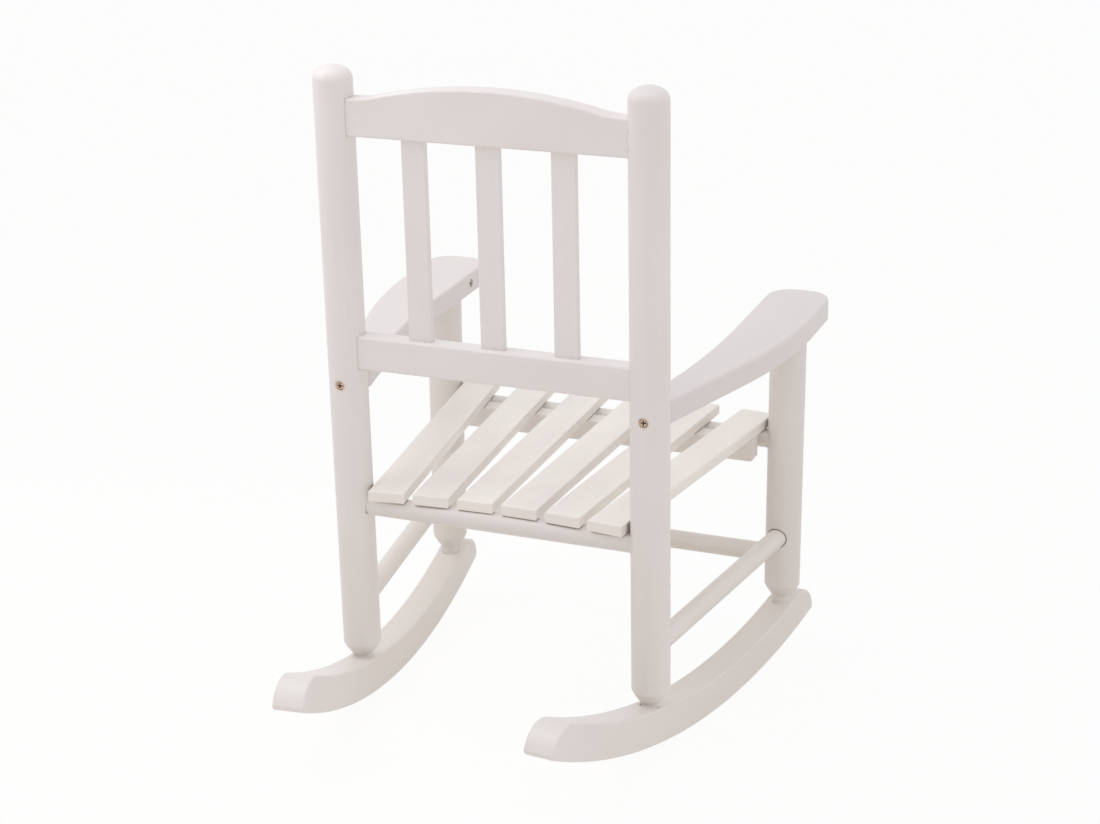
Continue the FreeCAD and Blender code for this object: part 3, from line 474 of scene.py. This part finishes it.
def turned_brass(name, metal_colour, tarnish_share=1.0):
    """Brass wood screws, turned and left bare.

    The eye gets a soft shine, browned in the cross, round the rim and in small blotches.
    """
    settings = bpy.context.scene.chair_screws
    material, tree, output = empty_material(name)
    place = add_node(tree, "ShaderNodeTexCoord").outputs["Object"]
    stains = add_node(tree, "ShaderNodeTexNoise", None, {
        "Vector": place, "Scale": 1 / BLOTCH_SIZE, "Detail": 3, "Roughness": 0.6})
    hollow = add_node(tree, "ShaderNodeAmbientOcclusion", {"samples": 8}, {"Distance": TARNISH_REACH})
    brown = add_node(tree, "ShaderNodeMapRange", None, {
        "Value": hollow.outputs["AO"], "From Min": 0.98, "From Max": 0.5})
    blotch = add_node(tree, "ShaderNodeMapRange", None, {
        "Value": stains.outputs["Fac"], "From Min": 0.42, "From Max": 0.66, "To Max": 0.6})
    stained = add_node(tree, "ShaderNodeMath", {"operation": "ADD", "use_clamp": True}, {
        0: blotch.outputs["Result"], 1: brown.outputs["Result"]})
    browned = add_node(tree, "ShaderNodeMath", {"operation": "MULTIPLY"}, {
        0: stained.outputs[0], 1: tarnish_share})
    metal = add_node(tree, "ShaderNodeMix", {"data_type": "RGBA"}, {
        FACTOR: browned.outputs[0], FIRST: (*metal_colour, 1), SECOND: (*settings.tarnish, 1)})
    dull = add_node(tree, "ShaderNodeMapRange", None, {
        "Value": stains.outputs["Fac"], "From Min": 0.3, "From Max": 0.7, "To Min": 0.28, "To Max": 0.5})
    surface = add_node(tree, "ShaderNodeBsdfPrincipled", None, {
        "Base Color": metal.outputs[RESULT], "Metallic": 1.0, "Roughness": dull.outputs["Result"]})
    tree.links.new(surface.outputs["BSDF"], output.inputs["Surface"])
    return material


def finish_node(name, material):
    """Give a solid of the chair its finish."""
    if name not in NODES:
        raise RuntimeError(f"the chair has no piece named {name}")
    NODES[name].material_slots[0].material = material


def turn_to(out, up):
    """The turn that takes Z to one direction, and X as near as it can to another."""
    out = out.normalized()
    side = (up - out * up.dot(out)).normalized()
    return Matrix((side, out.cross(side), out)).transposed().to_euler()


def round_loop(centre, out, up, radius):
    """A ring of edges round a rung or a post."""
    bpy.ops.object.select_all(action="DESELECT")
    bpy.ops.mesh.primitive_circle_add(
        vertices=RING_STEPS, radius=radius, fill_type="NOTHING",
        location=centre, rotation=turn_to(out, up))
    return bpy.context.active_object


def square_loop(centre, out, up, tall, wide):
    """A ring of edges round a board, with its corners eased."""
    bpy.ops.object.select_all(action="DESELECT")
    bpy.ops.mesh.primitive_plane_add(size=1, location=centre, rotation=turn_to(out, up))
    loop = bpy.context.active_object
    loop.scale = (tall, wide, 1)
    bpy.ops.object.transform_apply(location=False, rotation=False, scale=True)
    bpy.ops.object.mode_set(mode="EDIT")
    bpy.ops.mesh.select_all(action="SELECT")
    bpy.ops.mesh.bevel(affect="VERTICES", offset=RING_CORNER, segments=3)
    bpy.ops.mesh.delete(type="ONLY_FACE")
    bpy.ops.mesh.select_all(action="SELECT")
    bpy.ops.mesh.subdivide(number_cuts=4)
    bpy.ops.object.mode_set(mode="OBJECT")
    return loop


def bead(loop, wood, half_thickness):
    """Lay a ring of edges on a piece of wood and thicken it to a bead."""
    bpy.ops.object.select_all(action="DESELECT")
    loop.select_set(True)
    bpy.context.view_layer.objects.active = loop
    lie = loop.modifiers.new("lie_on_wood", "SHRINKWRAP")
    lie.target = NODES[wood]
    lie.wrap_method = "PROJECT"
    lie.use_project_z = True
    lie.use_negative_direction = True
    lie.use_positive_direction = True
    bpy.ops.object.modifier_apply(modifier=lie.name)
    bpy.ops.object.convert(target="CURVE")
    loop = bpy.context.active_object
    loop.data.bevel_depth = half_thickness
    loop.data.bevel_resolution = 2
    bpy.ops.object.convert(target="MESH")
    loop = bpy.context.active_object
    bpy.ops.object.transform_apply(location=True, rotation=True, scale=True)
    return loop


def gathered(name, parts, material):
    """Join like parts into one piece that rides with the chair."""
    bpy.ops.object.select_all(action="DESELECT")
    for part in parts:
        part.select_set(True)
    bpy.context.view_layer.objects.active = parts[0]
    bpy.ops.object.join()
    piece = bpy.context.active_object
    piece.name = name
    piece.data.name = name
    bpy.ops.object.mode_set(mode="EDIT")
    bpy.ops.mesh.select_all(action="SELECT")
    bpy.ops.mesh.remove_doubles(threshold=0.01 * MM)
    bpy.ops.mesh.normals_make_consistent(inside=False)
    bpy.ops.object.mode_set(mode="OBJECT")
    bpy.ops.object.shade_smooth_by_angle(angle=math.radians(40))
    piece.data.materials.clear()
    piece.data.materials.append(material)
    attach(piece, "root")


def background_rays(tree):
    """One for what the camera sees, straight, by gloss or through glass, and nought for other light."""
    ray = add_node(tree, "ShaderNodeLightPath")
    seen = add_node(tree, "ShaderNodeMath", {"operation": "MAXIMUM"}, {
        0: ray.outputs["Is Camera Ray"], 1: ray.outputs["Is Glossy Ray"]})
    seen = add_node(tree, "ShaderNodeMath", {"operation": "MAXIMUM"}, {
        0: seen.outputs[0], 1: ray.outputs["Is Transmission Ray"]})
    return seen.outputs[0]


class CHAIR_OT_posts(bpy.types.Operator):
    """Finish the turned posts"""

    bl_idname = "chair.posts"
    bl_label = "Posts"

    def execute(self, context):
        coat = context.scene.chair_enamel.coat
        screws = [rear_point(sign, ARM_REAR_SCREW) + ARM_BACK * POST_RADIUS for side, sign in SIDES]
        rear = sprayed_enamel("sprayed_enamel_rear_posts", REAR_UP, coat, screws=screws)
        front = sprayed_enamel("sprayed_enamel_front_posts", FRONT_UP, coat)
        for side, sign in SIDES:
            finish_node(f"back_post_{side}", rear)
            finish_node(f"front_post_{side}", front)
        return {"FINISHED"}


class CHAIR_OT_rockers(bpy.types.Operator):
    """Finish the rockers, which toe out"""

    bl_idname = "chair.rockers"
    bl_label = "Rockers"

    def execute(self, context):
        coat = context.scene.chair_enamel.coat
        for side, sign in SIDES:
            length = Vector((-sign * math.sin(SPLAY), math.cos(SPLAY), 0))
            finish_node(f"rocker_{side}", sprayed_enamel(f"sprayed_enamel_{side}_rocker", length, coat))
        return {"FINISHED"}


class CHAIR_OT_back(bpy.types.Operator):
    """Finish the crest rail, the lower rail and the upright slats"""

    bl_idname = "chair.back"
    bl_label = "Back"

    def execute(self, context):
        coat = context.scene.chair_enamel.coat
        rails = sprayed_enamel("sprayed_enamel_back_rails", ACROSS, coat)
        slats = sprayed_enamel("sprayed_enamel_back_slats", REAR_UP, coat)
        finish_node("crest_rail", rails)
        finish_node("lower_back_rail", rails)
        for place in ("left", "centre", "right"):
            finish_node(f"back_slat_{place}", slats)
        return {"FINISHED"}


class CHAIR_OT_seat(bpy.types.Operator):
    """Finish the seat slats and what carries them"""

    bl_idname = "chair.seat"
    bl_label = "Seat"

    def execute(self, context):
        settings = context.scene.chair_enamel
        # The seat slats take the paler coat, painted light that brightens the seat where the back and arms
        # shade it
        slats = sprayed_enamel(
            "sprayed_enamel_seat_slats", SEAT_BACK, settings.seat_lit_coat, soil_and_shade=1.6, low_shade=0.35)
        # The rails get more of the corner darkening, dust and painted shade where the slats sit on them
        carriers = sprayed_enamel("sprayed_enamel_seat_rails", ACROSS, settings.coat, soil_and_shade=2.2)
        # The rear rail takes the arms' darker coat, painted shade under the seat slats
        shaded_rail = sprayed_enamel("sprayed_enamel_rear_seat_rail", ACROSS, settings.arm_shade_coat, soil_and_shade=2.2)
        for place in range(1, 7):
            finish_node(f"seat_slat_{place}", slats)
        finish_node("rear_seat_rail", shaded_rail)
        for name in ("seat_batten", "front_seat_rail"):
            finish_node(name, carriers)
        return {"FINISHED"}


class CHAIR_OT_arms(bpy.types.Operator):
    """Finish the arms"""

    bl_idname = "chair.arms"
    bl_label = "Arms"

    def execute(self, context):
        # The arms take the darker coat, which is painted shade
        grey = context.scene.chair_enamel.arm_shade_coat
        boards = sprayed_enamel("sprayed_enamel_arms", ARM_BACK, grey, low_shade=0.25)
        for side, sign in SIDES:
            finish_node(f"arm_{side}", boards)
        return {"FINISHED"}


class CHAIR_OT_stretchers(bpy.types.Operator):
    """Finish the stretchers between the posts"""

    bl_idname = "chair.stretchers"
    bl_label = "Stretchers"

    def execute(self, context):
        coat = context.scene.chair_enamel.coat
        finish_node("front_stretcher", sprayed_enamel("sprayed_enamel_front_stretcher", ACROSS, coat))
        for side, sign in SIDES:
            rear, front = side_ends(sign)
            length = (front - rear).normalized()
            rung = sprayed_enamel(f"sprayed_enamel_{side}_stretcher", length, coat)
            finish_node(f"side_stretcher_{side}", rung)
        return {"FINISHED"}


class CHAIR_OT_joints(bpy.types.Operator):
    """Add the enamel that pooled round the joints, and dark rings of painted shadow at the side
    stretchers' front ends
    """

    bl_idname = "chair.joints"
    bl_label = "Joints"

    def execute(self, context):
        settings = context.scene.chair_joints
        worn = pooled_enamel("pooled_enamel_worn", cracks=0.75)
        sound = pooled_enamel("pooled_enamel_back", cracks=0.15)
        gathered("rung_beads", self.round_rungs(settings), worn)
        # A dark ring of painted shadow where each side stretcher enters its front post
        gathered("stretcher_gap_shadows", self.ring_front_end_shadows(settings), gap_shadow_finish())
        gathered("foot_and_arm_beads", self.round_posts(settings), worn)
        gathered("back_beads", self.round_back(settings), sound)
        return {"FINISHED"}

    def round_rungs(self, settings):
        """Beads where the rungs enter the posts."""
        beads = []
        for side, sign in SIDES:
            inward = ACROSS * -sign
            rear, front = side_ends(sign)
            for axis_point, out, up, post in (
                    (rear_point(sign, REAR_SEAT_RAIL), inward, REAR_UP, f"back_post_{side}"),
                    (front_point(sign, FRONT_SEAT_RAIL), inward, FRONT_UP, f"front_post_{side}"),
                    (front_point(sign, FRONT_STRETCHER), inward, FRONT_UP, f"front_post_{side}"),
                    (rear, (front - rear).normalized(), REAR_UP, f"back_post_{side}")):
                ring = round_loop(axis_point + out * POST_START, out, up, RUNG_RING)
                beads.append(bead(ring, post, settings.rung_bead))
        return beads

    def ring_front_end_shadows(self, settings):
        """Dark rings of painted shadow where the side stretchers enter the front posts."""
        gap_shadows = []
        for side, sign in SIDES:
            rear, front = side_ends(sign)
            out = (rear - front).normalized()
            ring = round_loop(front + out * POST_START, out, FRONT_UP, RUNG_RING)
            gap_shadows.append(bead(ring, f"front_post_{side}", settings.gap))
        return gap_shadows

    def round_posts(self, settings):
        """Beads where the posts' feet enter the rockers, and the front posts' tops the arms."""
        beads = []
        for side, sign in SIDES:
            for start, up, radius, wood in (
                    (rear_point(sign, REAR_FOOT_START), REAR_UP, FOOT_RING, f"rocker_{side}"),
                    (front_point(sign, FRONT_FOOT_START), FRONT_UP, FOOT_RING, f"rocker_{side}"),
                    (front_point(sign, ARM_START), FRONT_UP, POST_TOP_RING, f"arm_{side}")):
                ring = round_loop(start, up, ACROSS, radius)
                beads.append(bead(ring, wood, settings.foot_bead))
        return beads

    def round_back(self, settings):
        """Beads where the back's rails enter the posts, and its upright slats the rails."""
        beads = []
        for side, sign in SIDES:
            inward = ACROSS * -sign
            for along, size in ((CREST_RAIL, CREST_RING), (LOWER_RAIL, LOWER_RAIL_RING)):
                start = rear_point(sign, along) + inward * POST_START
                ring = square_loop(start, inward, REAR_UP, *size)
                beads.append(bead(ring, f"back_post_{side}", settings.rail_bead))
        for step in (-1, 0, 1):
            for along, rail in ((SLAT_TOP_START, "crest_rail"), (SLAT_FOOT_START, "lower_back_rail")):
                start = Vector((step * SLAT_SPACING, REAR_Y, 0)) + REAR_UP * along
                ring = square_loop(start, REAR_UP, ACROSS, *SLAT_RING)
                beads.append(bead(ring, rail, settings.rail_bead))
        return beads


class CHAIR_OT_screws(bpy.types.Operator):
    """Finish the screws of the arms, the seat and the rockers"""

    bl_idname = "chair.screws"
    bl_label = "Screws"

    def execute(self, context):
        settings = context.scene.chair_screws
        bright = turned_brass("turned_brass", settings.brass)
        misted = turned_brass("turned_brass_misted", settings.misted, tarnish_share=0.45)
        for name in ("arm_rear_screws", "rocker_screws", "batten_screws", "seat_rail_screws"):
            finish_node(name, bright)
        finish_node("arm_front_screws", misted)
        return {"FINISHED"}


class CHAIR_OT_stage(bpy.types.Operator):
    """Set the floor, the light and the camera"""

    bl_idname = "chair.stage"
    bl_label = "Stage"

    def execute(self, context):
        settings = context.scene.chair_stage
        context.scene.view_settings.view_transform = "Standard"
        self.lay_floor(settings)
        self.light_room(context, settings)
        self.hang_lamps(settings)
        self.place_camera(context, settings)
        return {"FINISHED"}

    def lay_floor(self, settings):
        """A floor of matt white paper, which keeps the chair's shadow and is near white for the camera."""
        bpy.ops.object.select_all(action="DESELECT")
        bpy.ops.mesh.primitive_plane_add(size=FLOOR_WIDTH, location=(0, 0, -FLOOR_DROP))
        floor = bpy.context.active_object
        floor.name = "floor"
        bpy.ops.object.transform_apply(location=True, rotation=True, scale=True)
        material, tree, output = empty_material("matt_white_paper")
        share = add_node(tree, "ShaderNodeMath", {"operation": "MULTIPLY"}, {
            0: background_rays(tree), 1: settings.floor_white})
        paper = add_node(tree, "ShaderNodeBsdfDiffuse", None, {"Color": (*settings.floor, 1)})
        white = add_node(tree, "ShaderNodeEmission", None, {"Color": (1, 1, 1, 1), "Strength": 1})
        blend = add_node(tree, "ShaderNodeMixShader", None, {
            0: share.outputs[0], 1: paper.outputs[0], 2: white.outputs[0]})
        tree.links.new(blend.outputs[0], output.inputs["Surface"])
        floor.data.materials.append(material)

    def light_room(self, context, settings):
        """Even light from all round, which the camera sees as white."""
        world = bpy.data.worlds.new("studio")
        context.scene.world = world
        world.use_nodes = True
        tree = world.node_tree
        tree.nodes.clear()
        even = add_node(tree, "ShaderNodeBackground", None, {
            "Color": (*settings.room_tint, 1), "Strength": settings.room_light})
        white = add_node(tree, "ShaderNodeBackground", None, {"Color": (1, 1, 1, 1), "Strength": 1})
        blend = add_node(tree, "ShaderNodeMixShader", None, {
            0: background_rays(tree), 1: even.outputs[0], 2: white.outputs[0]})
        output = add_node(tree, "ShaderNodeOutputWorld")
        tree.links.new(blend.outputs[0], output.inputs["Surface"])

    def hang_lamps(self, settings):
        """A soft lamp above the left of the picture, and a broad one above the right with no shadow."""
        bpy.ops.object.light_add(
            type="AREA", location=KEY_PLACE, rotation=turn_to(KEY_PLACE - KEY_AIM, ACROSS))
        key = bpy.context.active_object
        key.name = "key_lamp"
        key.data.shape = "DISK"
        key.data.size = settings.key_size
        key.data.energy = settings.key_light
        key.visible_camera = False
        bpy.ops.object.light_add(type="SUN", location=FILL_PLACE, rotation=turn_to(FILL_PLACE, ACROSS))
        fill = bpy.context.active_object
        fill.name = "fill_lamp"
        fill.data.energy = settings.fill_light
        fill.data.angle = FILL_SPREAD
        fill.data.use_shadow = False

    def place_camera(self, context, settings):
        """The camera stands behind the chair, to the sitter's right, and looks a little down."""
        turn = Matrix((CAMERA_RIGHT, CAMERA_UP, CAMERA_BACK)).transposed()
        bpy.ops.object.camera_add(location=CAMERA_PLACE, rotation=turn.to_euler())
        camera = bpy.context.active_object
        camera.data.lens = settings.lens
        camera.data.sensor_width = FILM_WIDTH
        context.scene.camera = camera


class CHAIR_PT_sidebar(bpy.types.Panel):
    """The steps that finish the chair, in order"""

    bl_idname = "CHAIR_PT_sidebar"
    bl_label = "Rocking Chair"
    bl_space_type = "VIEW_3D"
    bl_region_type = "UI"
    bl_category = "Rocking Chair"

    def draw(self, context):
        column = self.layout.column(align=True)
        for step in STEPS:
            column.operator(step.bl_idname)


SETTINGS = (
    ("chair_enamel", EnamelSettings),
    ("chair_joints", JointSettings),
    ("chair_screws", ScrewSettings),
    ("chair_stage", StageSettings),
)
STEPS = (
    CHAIR_OT_posts,
    CHAIR_OT_rockers,
    CHAIR_OT_back,
    CHAIR_OT_seat,
    CHAIR_OT_arms,
    CHAIR_OT_stretchers,
    CHAIR_OT_joints,
    CHAIR_OT_screws,
    CHAIR_OT_stage,
)


def register():
    for name, group in SETTINGS:
        bpy.utils.register_class(group)
        setattr(bpy.types.Scene, name, PointerProperty(type=group))
    for step in STEPS:
        bpy.utils.register_class(step)
    bpy.utils.register_class(CHAIR_PT_sidebar)


def unregister():
    bpy.utils.unregister_class(CHAIR_PT_sidebar)
    for step in reversed(STEPS):
        bpy.utils.unregister_class(step)
    for name, group in reversed(SETTINGS):
        delattr(bpy.types.Scene, name)
        bpy.utils.unregister_class(group)


def main():
    register()
    bpy.ops.chair.posts()
    bpy.ops.chair.rockers()
    bpy.ops.chair.back()
    bpy.ops.chair.seat()
    bpy.ops.chair.arms()
    bpy.ops.chair.stretchers()
    bpy.ops.chair.joints()
    bpy.ops.chair.screws()
    bpy.ops.chair.stage()


if __name__ == "__main__":
    main()
